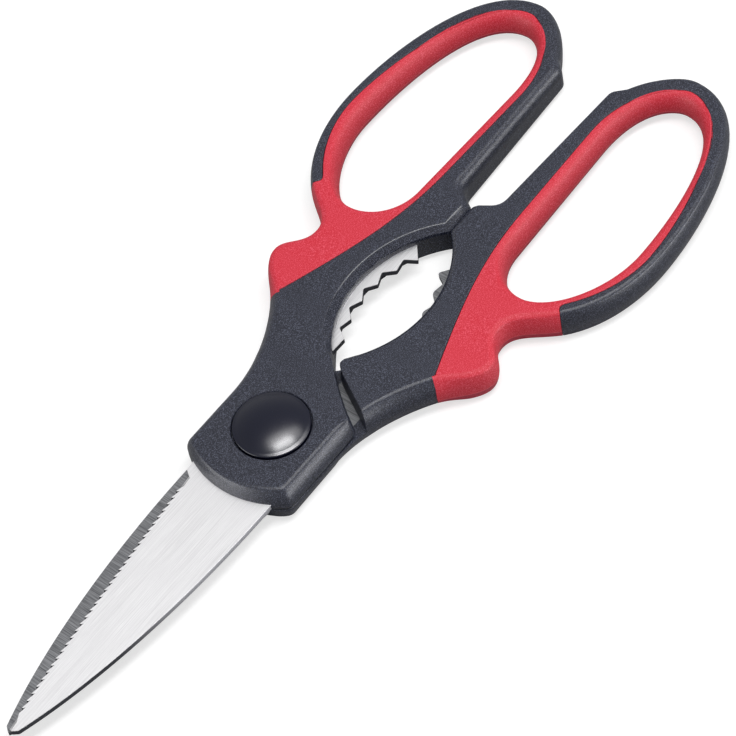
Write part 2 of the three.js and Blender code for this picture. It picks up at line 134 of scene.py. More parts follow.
# %% Outlines
def heading(degrees, length=1):
    return Vector((math.cos(math.radians(degrees)), math.sin(math.radians(degrees)))) * length


class Outline:
    def __init__(self, start, kind):
        self.points = [(start.copy(), kind, 0)]

    def line(self, point, kind, finish=0):
        here, _, own = self.points[-1]
        self.points[-1] = (here, kind, own)
        self.points.append((point.copy(), kind, finish))
        return self

    def follow(self, points, kind, fade=None):
        """Lines through points. A fade names a second kind, and its share at the start and at the end."""
        for i, point in enumerate(points):
            along = (i + 0.5) / len(points)
            mixed = kind if fade is None else (kind, fade[0], fade[1] + (fade[2] - fade[1]) * along)
            self.line(point, mixed)
        return self

    def bend(self, to, leave, leave_reach, arrive, arrive_reach, kind, steps=16, fade=None):
        here = self.points[-1][0]
        out = here + heading(leave, leave_reach)
        into = to - heading(arrive, arrive_reach)
        curve = interpolate_bezier(here.to_3d(), out.to_3d(), into.to_3d(), to.to_3d(), steps + 1)
        return self.follow([p.to_2d() for p in curve[1:]], kind, fade)

    def arc(self, centre, radius, start, end, kind, steps=32, fade=None):
        angles = [start + (end - start) * i / steps for i in range(steps + 1)]
        return self.follow([centre + heading(a, radius) for a in angles], kind, fade)


def meeting(first, second):
    """Where two chains cross: the index before the crossing on each, and the point."""
    for i in range(len(first) - 1):
        for j in range(len(second) - 1):
            point = intersect_line_line_2d(first[i][0], first[i + 1][0], second[j][0], second[j + 1][0])
            if point is not None:
                return i, j, point
    raise ValueError("the two chains don't cross")


def joined(*runs, kind=None):
    """One chain from several runs, without the points that lie on top of each other."""
    chain = []
    for point, own, finish in [item for run in runs for item in run]:
        if not chain or (point - chain[-1][0]).length > 0.04:
            chain.append((point, kind or own, finish))
    return chain


# %% [markdown]
# The half's edge runs once round the loop, the finger rest, the hub and the oval. It is drawn with the
# solid on its left. The seam between hard and soft plastic is a ring round the finger hole with one branch
# along the arm and one across the rim. Both branches run into the ring without a corner.

# %% The half's edge and its seams
NOSE_TRIM = 8
nose_turn = math.degrees(math.asin(HUB_WIDTH / NOSE_RADIUS))
nose_high = NOSE_CENTRE + heading(180 - nose_turn, NOSE_RADIUS)
nose_low = NOSE_CENTRE + heading(180 + nose_turn, NOSE_RADIUS)
oval_start = math.degrees(math.atan2(OVAL_START.y - OVAL_CENTRE.y, OVAL_START.x - OVAL_CENTRE.x))
oval_end = math.degrees(math.asin((STOP - OVAL_CENTRE.y) / OVAL_RADIUS))

edge = Outline(LOOP_END, "rim")
edge.bend(CROWN, 90, 16.4, 180, 16.4, "rim", 28)
edge.bend(RIM_START, 180, 10.1, 232, 10.1, "rim", 28)
edge.bend(NOTCH, 232, 5, 180, 3.4, "soft")
edge.bend(NUB, 180, 4.2, 180, 4, "soft")
edge.bend(FLARE_END, 180, 3.6, 219.8, 3.6, "soft")
edge.bend(FLARE_START, 219.8, 7.2, 180, 9.6, "round", 24)
edge.line(nose_high, "hub", 1.0)
edge.arc(NOSE_CENTRE, NOSE_RADIUS, 180 - nose_turn + NOSE_TRIM, 180 + nose_turn - NOSE_TRIM, "nose", 24,
         fade=("hub", 0, 1))
edge.line(nose_low, "hub", 1.0)
edge.line(Vector((6.5, -HUB_WIDTH)), "hub")
edge.bend(FLANK_FOOT, 0, 3.2, FLANK_HEADING, 2.4, "hub", 10, fade=("wall", 0, 0.7))
edge.bend(OVAL_START, FLANK_HEADING, 5, oval_start - 90, 4, "hub", 12, fade=("wall", 0.7, 1))
edge.arc(OVAL_CENTRE, OVAL_RADIUS, oval_start, oval_start - 12, "oval", 6, fade=("wall", 1, 0))
edge.arc(OVAL_CENTRE, OVAL_RADIUS, oval_start - 12, oval_end, "oval", 42)
edge.line(STOP_END, "oval", 0.6)
edge.line(ARM_START, "arm", 2.0)
edge.line(ARM_END, "arm", 1.0)
edge.line(HEEL, "arm", 0.7)
edge.bend(LOOP_END, 20, 4.6, 90, 4.7, "rim", fade=("arm", 1, 0))


def finger_ring(crown, end, floor, corner, kind):
    slope = math.degrees(math.atan2(FLOOR_END.y - FLOOR_START.y, FLOOR_END.x - FLOOR_START.x))
    down = Vector((0, floor))
    ring = Outline(FLOOR_START - down, kind)
    ring.line(FLOOR_END - down, kind)
    ring.bend(HOLE_RIGHT + Vector((end, 0)), slope, 14.5, 90, 3, kind, 24)
    ring.bend(HOLE_TOP + Vector((0, crown)), 90, 12.2, 180, 14.5, kind, 28)
    ring.bend(HOLE_LEFT - Vector((end, 0)), 180, 10.4 + corner, 270, 5.5 + corner, kind, 28)
    ring.bend(FLOOR_START - down, 270, 5.5, slope, 6, kind, 20)
    return ring.points


ring_seam = finger_ring(LINING_CROWN, LINING_END, LINING_FLOOR, 2.4, "seam")
arm_join = ring_seam[0][0].lerp(ring_seam[1][0], ARM_JOIN_SHARE)
arm_seam = Outline(ARM_SEAM[0], "seam").line(ARM_SEAM[1], "seam")
arm_seam.bend(arm_join, -20, 18, -1.6, 16, "seam", 28)

crown_side = [i for i, item in enumerate(ring_seam) if item[0].y > RIM_JOIN_ABOVE]
rim_join = min(crown_side, key=lambda i: abs(ring_seam[i][0].x - RIM_JOIN_X))
toward_crown = ring_seam[rim_join - 1][0] - ring_seam[rim_join][0]
crown_heading = math.degrees(math.atan2(toward_crown.y, toward_crown.x))
rim_seam = Outline(RIM_SEAM, "seam").line(RIM_SEAM + heading(RIM_SEAM_HEADING, RIM_SEAM_RUN), "seam")
rim_seam.bend(ring_seam[rim_join][0], RIM_SEAM_HEADING, 1, crown_heading, 1.1, "seam", 8)

shoulder = Outline(SHOULDER[0], "shoulder").line(SHOULDER[1], "shoulder")
shoulder.bend(SHOULDER[2], -58, 1.2, -36, 1.1, "shoulder", 6)
shoulder.bend(SHOULDER[3], -36, 0.9, 32, 0.9, "shoulder", 8, fade=("oval", 0, 0.8))
print("edge points:", len(edge.points), "seam points:", len(ring_seam))

# %% [markdown]
# Now the chains are cut at their crossings and joined into closed loops. The hard moulding takes the edge
# round the hub, arm and rim. The soft one takes the finger rest, and the ring round the finger hole. Where
# they meet at the edge, both have the same side profile, so their surfaces run on. The shoulder cuts the
# hard loop once more: under the sliding plane, a half has an arm but no hub.

# %% Loops of the two mouldings
edge_rim, rim_edge, at_rim = meeting(edge.points, rim_seam.points)
edge_arm, arm_edge, at_arm = meeting(edge.points, arm_seam.points)

across_rim = [(at_rim, "seam", 0), *rim_seam.points[rim_edge + 1:]]
along_arm = [(at_arm, "seam", 0), *arm_seam.points[arm_edge + 1:]]
round_hole = ring_seam[1:rim_join + 1]

flare = [(p, "round" if k == "soft" else k, f) for p, k, f in edge.points[edge_arm + 1:-1]]
hard = joined(
    [(at_arm, "round", 0), *flare],
    edge.points[:edge_rim + 1],
    joined(across_rim, round_hole[::-1], along_arm[:0:-1], kind="seam"))

rest = joined([(at_rim, "soft", 0)], edge.points[edge_rim + 1:edge_arm + 1])
rest = [(p, ("soft", "rim", 1 - i / RIM_FADE) if i < RIM_FADE else
         ("soft", "round", max(0, 1 - (len(rest) - 1 - i) / ARM_FADE)), 0) for i, (p, _, _) in enumerate(rest)]
soft = joined(rest, joined(along_arm, round_hole, across_rim[:0:-1], kind="seam"))
hole = joined(finger_ring(0, 0, 0, 1, "bull")[:0:-1])

cut_out, shoulder_out, at_shoulder = meeting(hard, shoulder.points)
cut_in, shoulder_in, at_oval = meeting(hard[cut_out + 1:] + hard[:1], shoulder.points)
cut_in += cut_out + 1
shoulder_run = shoulder.points[shoulder_out + 1:shoulder_in + 1]
hub_run = [(at_shoulder, "round", 0), *hard[cut_out + 1:cut_in + 1]]
away = [item for item in hard[cut_in + 1:] + hard[:cut_out + 1]
        if min((item[0] - end).length for end in (at_oval, at_shoulder)) > SHOULDER_CLEAR]
arm_run = [(at_oval, *hard[cut_in][1:]), *away]
# Above the sliding plane the oval's bevel fades in beside the hub. Below it, the bevel starts at the shoulder.
lower_run = [(p, "oval" if k[0] == "oval" else k, f) for p, k, f in arm_run]
print("hard loop:", len(hard), "soft loop:", len(soft), "finger hole:", len(hole))

# %% [markdown]
# ## Side profiles
# Each kind of edge has a profile: how far the surface lies inside the outline at a height z. A handled
# edge is one convex curve from the middle up to a soft crease. The finger hole is a bullnose: it is widest at
# the parting line of the mould, which lies below the middle. A wall only loses its sharp corner. Some edges
# are rounder above than below, so z keeps its sign.

# %% Profiles
PARTING = -1.9
LINING_ABOVE, LINING_BELOW = 2.3, 1.5
SEAM_GROOVE = 0.05
SLIDE_BREAK, SLIDE_BREAK_TOP, SLIDE_BREAK_HEIGHT = 0.24, 0.6, 0.5
BEVEL_BREAK = 0.15
BOXY_START, BOXY_FOOT = 0.65, 3.48


def quarter(u):
    return 1 - math.sqrt(1 - min(max(u, 0), 1) ** 2)


def arch(sagitta, height, run):
    """A convex side with a given sagitta, and a fillet of a given height and run at the crease."""
    radius = (HALF ** 2 + sagitta ** 2) / (2 * sagitta)
    return lambda z: (radius - math.sqrt(radius ** 2 - z ** 2)
                      + run * max(0, (abs(z) - HALF + height) / height) ** 2)


def corner(run, height):
    return lambda z: run * quarter((abs(z) - HALF + height) / height)


def chamfer(run, height):
    """A flat bevel of a given run and height, with its upper edge broken."""
    edge_break = corner(BEVEL_BREAK, BEVEL_BREAK)
    return lambda z: run * max(0, abs(z) - HALF + height) / height + edge_break(z)


def sided(above, below):
    return lambda z: above(z) if z > 0 else below(z)


def parted(profile):
    """A profile whose corner at the sliding plane is broken, so that a line shows between the halves."""
    return lambda z: profile(z) + SLIDE_BREAK * quarter((SLIDE_BREAK_TOP - abs(z)) / SLIDE_BREAK_HEIGHT)


def bullnose(z):
    if z > PARTING:
        return LINING_ABOVE * quarter((z - PARTING) / (HALF - PARTING))
    return LINING_BELOW * quarter((PARTING - z) / (HALF + PARTING))


def boxy(z):
    """A side that leans in slowly, then rounds off near the table."""
    lean = max(0, abs(z) - BOXY_START) / (BOXY_FOOT - BOXY_START)
    rounding = max(0, abs(z) - BOXY_FOOT) / (HALF - BOXY_FOOT)
    return 0.67 * min(1, lean) ** 1.5 + 1.63 * rounding ** 1.3


wall = corner(0.3, 0.3)
PROFILES = {
    "round": arch(2.2, 0.32, 0.38),
    "hub": parted(arch(2.2, 0.32, 0.38)),
    "nose": parted(arch(1.4, 0.3, 0.3)),
    "base": parted(boxy),
    "rim": sided(arch(0.9, 0.4, 0.4), arch(1.15, 0.5, 0.55)),
    "soft": arch(0.9, 0.8, 0.9),
    "bull": bullnose,
    "bull_turned": lambda z: bullnose(-z),
    "arm": sided(corner(2.3, 4.0), corner(0.35, 0.35)),
    "wall": wall,
    "shoulder": lambda z: SHOULDER_RUN * min(1, abs(z) / 3.4) + wall(z),
    "seam": lambda z: SEAM_GROOVE + 0.16 * quarter((abs(z) - HALF + 0.2) / 0.2),
    "oval": sided(chamfer(1.9, 1.35), chamfer(1.0, 0.8)),
    "steel": lambda z: 0.06 * max(0, (z - BLADE_HIGH + 0.08) / 0.08),
    "ground": lambda z: max(0, (z - BLADE_LOW - 0.3) / (BLADE_HIGH - BLADE_LOW - 0.3)),
}
LEVELS = [0.35, 0.8, 1.6, 2.3, 2.9, 3.4, 3.75, 4.0, 4.2, 4.35, 4.46, 4.54, 4.6, HALF]
SHARP = 0.4
ROUND_STEPS = 5


def depth(kind, z):
    if isinstance(kind, str):
        return PROFILES[kind](z)
    first, second, share = kind
    return (1 - share) * PROFILES[first](z) + share * PROFILES[second](z)


def inset(points, z, extra=0.0):
    """The outline moved inwards by its profiles at height z, with its corners rounded."""
    moved = []
    for i, (here, kind, finish) in enumerate(points):
        if isinstance(finish, Vector):
            moved.append(here if z < BLADE_LOW + 0.31 else finish)
            continue
        before, kind_before, _ = points[i - 1]
        after = points[(i + 1) % len(points)][0]
        into, out = (here - before).normalized(), (after - here).normalized()
        side_in, side_out = Vector((-into.y, into.x)), Vector((-out.y, out.x))
        first, second = depth(kind_before, z) + extra, depth(kind, z) + extra
        turn = into.x * out.y - into.y * out.x
        if abs(turn) < SHARP:
            middle = (side_in + side_out).normalized()
            place = here + middle * ((first + second) / 2 / middle.dot(side_in))
        else:
            place = here + (out * first - into * second) / turn
        if finish:
            start, end = place - into * finish, place + out * finish
            pulls = start.lerp(place, 0.6), end.lerp(place, 0.6)
            curve = interpolate_bezier(*[v.to_3d() for v in (start, *pulls, end)], ROUND_STEPS)
            moved.extend(p.to_2d() for p in curve)
        else:
            moved.append(place)
    return moved


def span(points):
    """How many vertices a run has once its corners are rounded."""
    return sum(1 if isinstance(f, Vector) or not f else ROUND_STEPS for _, _, f in points)


print("handled edge:", [round(depth("round", z), 2) for z in LEVELS])

# %% [markdown]
# ## Building a moulding
# A closed loop of vertices is extruded edge by edge through the heights, and every new ring is moved in by
# its profile. The last ring is filled. The taper comes last: it presses every height down towards the end
# of the finger loop. Each mesh then gets two attributes on its faces, which the finishes read: how steep a
# face is, and whether it belongs to the smooth bevel round the oval.

# %% Tools for loops
def draw_loop(bm, places):
    verts = [bm.verts.new(place) for place in places]
    for a, b in zip(verts, verts[1:] + verts[:1]):
        bm.edges.new((a, b))
    return verts


def loop_edges(bm, verts):
    return [bm.edges.get(pair) for pair in zip(verts, verts[1:] + verts[:1])]


def next_ring(bm, verts):
    made = bmesh.ops.extrude_edge_only(bm, edges=loop_edges(bm, verts))["geom"]
    fresh = {item for item in made if isinstance(item, bmesh.types.BMVert)}
    return [next(e.other_vert(v) for e in v.link_edges if e.other_vert(v) in fresh) for v in verts]


def rise(bm, verts, points, levels, side=1):
    for z in [*levels, levels[-1]]:
        closing = 0.06 if abs(verts[0].co.z) > levels[-1] - 1e-4 else 0
        verts = next_ring(bm, verts)
        for vert, place in zip(verts, inset(points, side * z, closing)):
            vert.co = (*place, side * z)
    return verts


def fill(bm, *loops):
    edges = [e for verts in loops for e in loop_edges(bm, verts)]
    bmesh.ops.triangle_fill(bm, use_beauty=True, use_dissolve=False, edges=edges)


def circle(bm, radius, z, steps=72):
    return draw_loop(bm, [(*heading(360 * i / steps, radius), z) for i in range(steps)])


def turn_out(bm, verts, radius, z):
    ring = next_ring(bm, verts)
    for vert in ring:
        vert.co = (*(vert.co.xy.normalized() * radius), z)
    return ring


def half_height(x):
    soft_start = 4
    run = max(0, x - TAPER_START + soft_start)
    eased = run ** 2 / (4 * soft_start) if run < 2 * soft_start else run - soft_start
    return HALF - eased * (HALF - LOOP_HALF) / (LOOP_END.x - TAPER_START)


def taper(bm):
    """Cut extra rows where the taper sets in, then press the heights down."""
    for x in (6, 8, 10, 12, 14):
        everything = bm.verts[:] + bm.edges[:] + bm.faces[:]
        bmesh.ops.bisect_plane(bm, geom=everything, dist=1e-5, plane_co=(x, 0, 0), plane_no=(1, 0, 0))
    for vert in bm.verts:
        vert.co.z *= half_height(vert.co.x) / HALF


BEVEL_START, BEVEL_REACH, BEVEL_FLATTEST = OVAL_START.x + 3, 12, 0.95


def stand(bm, name, place, node):
    """Close the mesh, move it from the plan to its place, and tie it to the CAD piece it stands for."""
    polished = bm.faces.layers.float.new("polished")
    for face in bm.faces:
        face.normal_update()
        x, y, _ = face.calc_center_median()
        at_oval_side = BEVEL_START < x < STOP_END.x and y < BEVEL_REACH
        face[polished] = at_oval_side and abs(face.normal.z) < BEVEL_FLATTEST
    bmesh.ops.remove_doubles(bm, verts=bm.verts, dist=2e-3)
    bmesh.ops.dissolve_degenerate(bm, edges=bm.edges, dist=1e-4)
    bmesh.ops.recalc_face_normals(bm, faces=bm.faces)
    bmesh.ops.transform(bm, matrix=place, verts=bm.verts)
    mesh = bpy.data.meshes.new(name)
    bm.to_mesh(mesh)
    open_edges = sum(not e.is_manifold for e in bm.edges)
    bm.free()
    mesh.polygons.foreach_set("use_smooth", [True] * len(mesh.polygons))
    mesh.set_sharp_from_angle(angle=math.radians(38))
    steep = mesh.attributes.new("steep", "FLOAT", "FACE")
    steep.data.foreach_set("value", [1 - abs(face.normal.z) for face in mesh.polygons])
    obj = bpy.data.objects.new(name, mesh)
    bpy.context.collection.objects.link(obj)
    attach(obj, BODY_OF[node])
    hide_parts(node)
    print(name, len(mesh.polygons), "faces,", open_edges, "open edges")
    return obj


BODY_OF = {node: body for body, nodes in frame["record"]["behaviour"]["bodies"].items() for node in nodes}

# %% [markdown]
# ## The hard handles
# The hub is hollow round the pivot, so its top and underside are filled with a hole. The recess for the
# pivot cover is turned out of the top. The arm's underside grows from the same middle loop, closed by the
# shoulder, so each handle is one closed skin. The rear hub, which lies on the table, has fuller sides.

# %% Hard handles
def handle(name, place, node, hub_kind):
    bm = bmesh.new()
    swap = {"hub": hub_kind}
    hub_points = [(p, swap.get(k, k) if isinstance(k, str) else (swap.get(k[0], k[0]), *k[1:]), f)
                  for p, k, f in hub_run]
    upper_points = hub_points + arm_run
    lower_points = lower_run + [(at_shoulder, "shoulder", 0), *shoulder_run]
    base = SLIDE + 0.03
    upper = draw_loop(bm, [(*p, base) for p in inset(upper_points, base)])
    hub, arm = upper[:span(hub_points)], upper[span(hub_points):]
    inner = [bm.verts.new((*p, base)) for p, _, _ in shoulder_run]
    for a, b in zip([hub[0], *inner], [*inner, arm[0]]):
        bm.edges.new((a, b))
    lower = arm + [hub[0], *inner]
    top = rise(bm, upper, upper_points, LEVELS)
    fill(bm, rise(bm, lower, lower_points, LEVELS, -1))
    chamber = circle(bm, CHAMBER_RADIUS, base)
    fill(bm, hub + [arm[0], *inner[::-1]], chamber)
    floor = HALF - RECESS_DEPTH
    seat = turn_out(bm, turn_out(bm, chamber, CHAMBER_RADIUS, floor), RECESS_RADIUS, floor)
    lip = turn_out(bm, turn_out(bm, seat, RECESS_RADIUS, HALF - 0.15), RECESS_RADIUS + 0.15, HALF)
    fill(bm, top, lip)
    taper(bm)
    return stand(bm, name, place, node)


handles = [handle("front_shell", FRONT, "front_handle", "hub"),
           handle("rear_shell", REAR, "rear_handle", "base")]

# %% [markdown]
# ## The soft grips
# A grip has two loops: its outer edge and the finger hole. Both rise together and the fill closes the ring
# between them, above and below.

# %% Soft grips
def grip(name, place, node, hole_kind):
    bm = bmesh.new()
    opening = [(p, hole_kind, f) for p, _, f in hole]
    outer = draw_loop(bm, [(*p, 0) for p in inset(soft, 0)])
    inner = draw_loop(bm, [(*p, 0) for p in inset(opening, 0)])
    for side in (1, -1):
        fill(bm, rise(bm, outer, soft, LEVELS, side), rise(bm, inner, opening, LEVELS, side))
    taper(bm)
    return stand(bm, name, place, node)


grips = [grip("front_soft_grip", FRONT, "front_grip", "bull"),
         grip("rear_soft_grip", REAR, "rear_grip", "bull_turned")]

# %% [markdown]
# ## The steel stampings
# Blade, hub disc and toothed tang are one piece of sheet. Its outline is drawn once, with the cutting edge
# and the teeth as arguments. The front edge has small slanting grooves: each leaves a forward tongue of the
# top face, a steep wall behind it, and a facet that runs out to the next tongue. The rear edge is plain.

# %% Sizes of the stampings
TIP_SPINE, TIP, TIP_EDGE = Vector((-84.5, -1.8)), Vector((-85.4, -0.65)), Vector((-84.9, 0.5))
SPINE_ROOT = Vector((-17.2, -10.75))
ROOT_HIGH, ROOT_STEP = Vector((-16.2, 10)), Vector((-17.1, 9.85))
EDGE_ROOT = Vector((-17.7, 9.0))
DISC_RADIUS = 11.2
TANG_END = Vector((57.5, 6.2))
TANG_OUTER = 35.9
TEETH_CENTRE = Vector((39.6, -19.3))
TEETH_RADIUS, TEETH_DEPTH, TEETH_STEP, TEETH_FIRST = 25.1, 1.75, 12, 58.6
GROOVES, GROOVE_PITCH, GROOVE_START = 33, 1.8, -22.5
# Each point of a groove: its place along the edge, and where it lies on the top face (along, inwards)
GROOVE_SHAPE = [(0, 0, 0.16), (-0.08, 0.2, 0.58), (-0.16, 0.55, 0.86), (-0.6, -0.39, 0.6), (-1.15, -1.21, 0.34)]


def stamping_outline(serrated, setback, tooth_radius):
    shape = Outline(TIP_SPINE, "steel")
    shape.bend(SPINE_ROOT, -18, 21, 0, 21, "steel", 40)
    lower = math.degrees(math.asin(SPINE_ROOT.y / DISC_RADIUS))
    shape.arc(Vector((0, 0)), DISC_RADIUS, lower, 9.2, "steel", 24)
    shape.line(Vector((18, 2.9)), "steel")
    for i in range(5, -1, -1):
        angle = TEETH_FIRST + i * TEETH_STEP
        valley = TEETH_RADIUS + TEETH_DEPTH + setback
        shape.line(TEETH_CENTRE + heading(angle + TEETH_STEP / 2, valley), "steel", 0.3)
        shape.line(TEETH_CENTRE + heading(angle, TEETH_RADIUS + setback), "steel", tooth_radius)
    shape.line(TANG_END, "steel")
    shape.line(OVAL_CENTRE + heading(57.4, TANG_OUTER), "steel")
    shape.arc(OVAL_CENTRE, TANG_OUTER, 57.4, 118.6, "steel", 24)
    shape.line(Vector((12.2, 12.2)), "steel")
    shape.line(Vector((0, DISC_RADIUS)), "steel")
    shape.line(ROOT_HIGH, "steel")
    shape.line(ROOT_STEP, "steel")
    shape.line(EDGE_ROOT, "steel")
    pull = EDGE_ROOT + heading(186.4, 22), TIP_EDGE - heading(189.6, 22)
    curve = [p.to_2d() for p in interpolate_bezier(*[v.to_3d() for v in (EDGE_ROOT, *pull, TIP_EDGE)], 1801)]
    if not serrated:
        return joined(shape.follow(curve[40::40], "ground").line(TIP, "steel").points)
    end = GROOVE_START - GROOVES * GROOVE_PITCH
    shape.follow([p for p in curve[40::40] if p.x > GROOVE_START + 0.8], "ground")
    for k in range(GROOVES):
        for along, top, inwards in GROOVE_SHAPE:
            x = GROOVE_START - k * GROOVE_PITCH
            low, high = (min(curve, key=lambda p: abs(p.x - x - shift)) for shift in (along, top))
            shape.line(low, "ground", high - Vector((0, inwards)))
    shape.follow([p for p in curve[40::40] if p.x < end - 0.3], "ground").line(TIP, "steel")
    return joined(shape.points)


# %% [markdown]
# The loop rises in three steps: a thin land that slides on the other blade, the ground bevel, and a broken
# edge round the top face. The bore for the pivot goes through all of it.

# %% Stampings
def stamping(name, place, node, *shape):
    bm = bmesh.new()
    points = stamping_outline(*shape)
    low = draw_loop(bm, [(*p, BLADE_LOW) for p in inset(points, BLADE_LOW)])
    bore = circle(bm, BORE_RADIUS, BLADE_LOW, 48)
    fill(bm, low, bore)
    levels = [BLADE_LOW + 0.3, BLADE_HIGH - 0.08, BLADE_HIGH]
    fill(bm, rise(bm, low, points, levels), turn_out(bm, bore, BORE_RADIUS, BLADE_HIGH))
    return stand(bm, name, place, node)


blades = [stamping("front_stamping", FRONT, "front_blade", True, 0, 0.3),
          stamping("rear_stamping", REAR, "rear_blade", False, 0.65, 0.8)]

# %% [markdown]
# ## Pivot covers
# Both covers are turned shapes. We draw half a section as a chain of edges and spin it once round the pivot
# axis. The front cover is domed, and hollow over the nut. The rear one is flush with the underside.

# %% Pivot covers
def turned(name, place, node, section):
    bm = bmesh.new()
    verts = [bm.verts.new((r, 0, z)) for r, z in section]
    edges = [bm.edges.new(pair) for pair in zip(verts, verts[1:])]
    bmesh.ops.spin(bm, geom=verts + edges, axis=(0, 0, 1), cent=(0, 0, 0), angle=2 * math.pi, steps=96,
                   use_merge=True)
    return stand(bm, name, place, node)


CAP_FOOT = HALF - RECESS_DEPTH + 0.15
CAP_EDGE = HALF + 0.2
CAP_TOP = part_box("dome_cap")[1].z / MM - HALF
SKIRT_OUT, SKIRT_IN, SKIRT_END = 6.55, 5.65, 1.78
dome_rise = CAP_TOP - CAP_EDGE - 0.3
dome_chord = CAP_RADIUS - 0.55
dome_radius = (dome_chord ** 2 + dome_rise ** 2) / (2 * dome_rise)
dome_half_angle = math.asin(dome_chord / dome_radius)
dome = [(dome_radius * math.sin(a), CAP_TOP - dome_radius * (1 - math.cos(a)))
        for a in (dome_half_angle * (1 - i / 24) for i in range(25))]
skirt = [(SKIRT_IN, SKIRT_END), (SKIRT_OUT, SKIRT_END), (SKIRT_OUT, CAP_FOOT), (CAP_RADIUS - 0.15, CAP_FOOT),
         (CAP_RADIUS, CAP_FOOT + 0.15)]
lip = [(CAP_RADIUS - 0.4 * (1 - math.cos(a)), CAP_EDGE - 0.12 + 0.4 * math.sin(a))
       for a in (math.radians(15 * i) for i in range(5))]
flat_lip = [(CAP_RADIUS, HALF - 0.3), (CAP_RADIUS - 0.09, HALF - 0.09), (CAP_RADIUS - 0.3, HALF)]

covers = [
    turned("domed_cover", FRONT, "dome_cap", [(0, 6.1), (3, 5.85), (SKIRT_IN, 5), *skirt, *lip, *dome]),
    turned("flat_cover", REAR, "back_cap", [(0, CAP_FOOT), (SKIRT_IN, CAP_FOOT), *skirt, *flat_lip, (0, HALF)]),
]

# %% [markdown]
# ## Shader maths
# Finishes are node trees. A small class wraps one socket, so that the maths between sockets reads like
# ordinary maths. Its one method makes any other node from its type, its settings and its inputs.

# %% A socket that can be calculated with
class Wire:
    def __init__(self, tree, socket=None):
        self.tree, self.socket = tree, socket

    def node(self, kind, settings=None, inputs=None, output=0):
        made = self.tree.nodes.new(kind)
        for key, value in (settings or {}).items():
            setattr(made, key, value)
        for key, value in (inputs or {}).items():
            if isinstance(value, Wire):
                self.tree.links.new(value.socket, made.inputs[key])
            else:
                made.inputs[key].default_value = value
        return Wire(self.tree, made.outputs[output] if made.outputs else None)

    def maths(self, operation, *values):
        return self.node("ShaderNodeMath", {"operation": operation}, dict(enumerate(values)))

    def __add__(self, other): return self.maths("ADD", self, other)
    def __radd__(self, other): return self.maths("ADD", other, self)
    def __sub__(self, other): return self.maths("SUBTRACT", self, other)
    def __rsub__(self, other): return self.maths("SUBTRACT", other, self)
    def __mul__(self, other): return self.maths("MULTIPLY", self, other)
    def __rmul__(self, other): return self.maths("MULTIPLY", other, self)
    def __truediv__(self, other): return self.maths("DIVIDE", self, other)
    def __rtruediv__(self, other): return self.maths("DIVIDE", other, self)
    def __pow__(self, other): return self.maths("POWER", self, other)
    def __abs__(self): return self.maths("ABSOLUTE", self)

    def ease(self, low, high, start=0.0, end=1.0):
        return self.node("ShaderNodeMapRange", {"interpolation_type": "SMOOTHSTEP"},
                         {0: self, 1: low, 2: high, 3: start, 4: end})


def colour(red, green, blue):
    """A display colour from 0 to 255 as linear light, which is what a shader takes."""
    channels = [c / 255 for c in (red, green, blue)]
    return (*[c / 12.92 if c <= 0.04045 else ((c + 0.055) / 1.055) ** 2.4 for c in channels], 1)


class Finish:
    """A material with its coordinates in millimetres and its main shader."""
    def __init__(self, name, **values):
        self.material = bpy.data.materials.new(name)
        self.material.use_nodes = True
        self.tree = self.material.node_tree
        self.shader = next(n for n in self.tree.nodes if n.type == "BSDF_PRINCIPLED")
        self.start = Wire(self.tree)
        place = self.start.node("ShaderNodeTexCoord", output="Object")
        self.place = self.start.node("ShaderNodeVectorMath", {"operation": "SCALE"}, {0: place, "Scale": 1 / MM})
        for key, value in values.items():
            self.set(key.replace("_", " "), value)

    def set(self, key, value):
        if isinstance(value, Wire):
            self.tree.links.new(value.socket, self.shader.inputs[key])
        else:
            self.shader.inputs[key].default_value = value

    def axis(self, name):
        return self.start.node("ShaderNodeSeparateXYZ", inputs={0: self.place}, output=name)

    def noise(self, scale, detail=2.0, stretch=(1, 1, 1), turn=0.0, rough=0.5):
        where = self.start.node("ShaderNodeMapping", inputs={
            "Vector": self.place, "Scale": stretch, "Rotation": (0, 0, math.radians(turn))})
        return self.start.node("ShaderNodeTexNoise", inputs={
            "Vector": where, "Scale": scale, "Detail": detail, "Roughness": rough})

    def mix(self, share, first, second):
        return self.start.node("ShaderNodeMix", {"data_type": "RGBA"}, {0: share, 6: first, 7: second}, output=2)

    def bump(self, height, strength, distance):
        return self.start.node("ShaderNodeBump", inputs={
            "Height": height, "Strength": strength, "Distance": distance * MM})

    def wear(self, *objects):
        for obj in objects:
            obj.data.materials.clear()
            obj.data.materials.append(self.material)


print("cap colour in linear light:", [round(c, 3) for c in colour(44, 48, 58)])

# %% [markdown]
# ## Plastics
# The hard plastic is charcoal with a spark-eroded grain: a fine noise lifts the surface, and the highest
# grains are lighter. The bevel round the oval is smoother, which an attribute of its faces tells. The soft
# plastic has the same kind of grain, finer and softer. A pale line is painted below the middle of the grips,
# where the two halves of the mould met: a painted highlight along that ridge. Under it the red is painted
# deeper, as painted shade. The covers are polished, with hardly any texture.

# %% Plastic finishes
charcoal = Finish("handle_plastic", IOR=1.46)
grain = charcoal.noise(3.6, 2.0)
speck = charcoal.noise(5.2, 1.0).ease(0.46, 0.74)
patch = charcoal.noise(0.09, 1.0)
charcoal.set("Base Color", charcoal.mix(speck * 0.9 + patch * 0.08, colour(14, 17, 32), colour(96, 100, 117)))
smooth = charcoal.start.node("ShaderNodeAttribute", {"attribute_name": "polished"}, output="Fac")
charcoal.set("Roughness", 0.28 + grain * 0.16 - smooth * 0.2)
charcoal.set("Normal", charcoal.bump(grain * (1 - smooth * 0.9), 0.4, 0.12))
charcoal.wear(*handles)

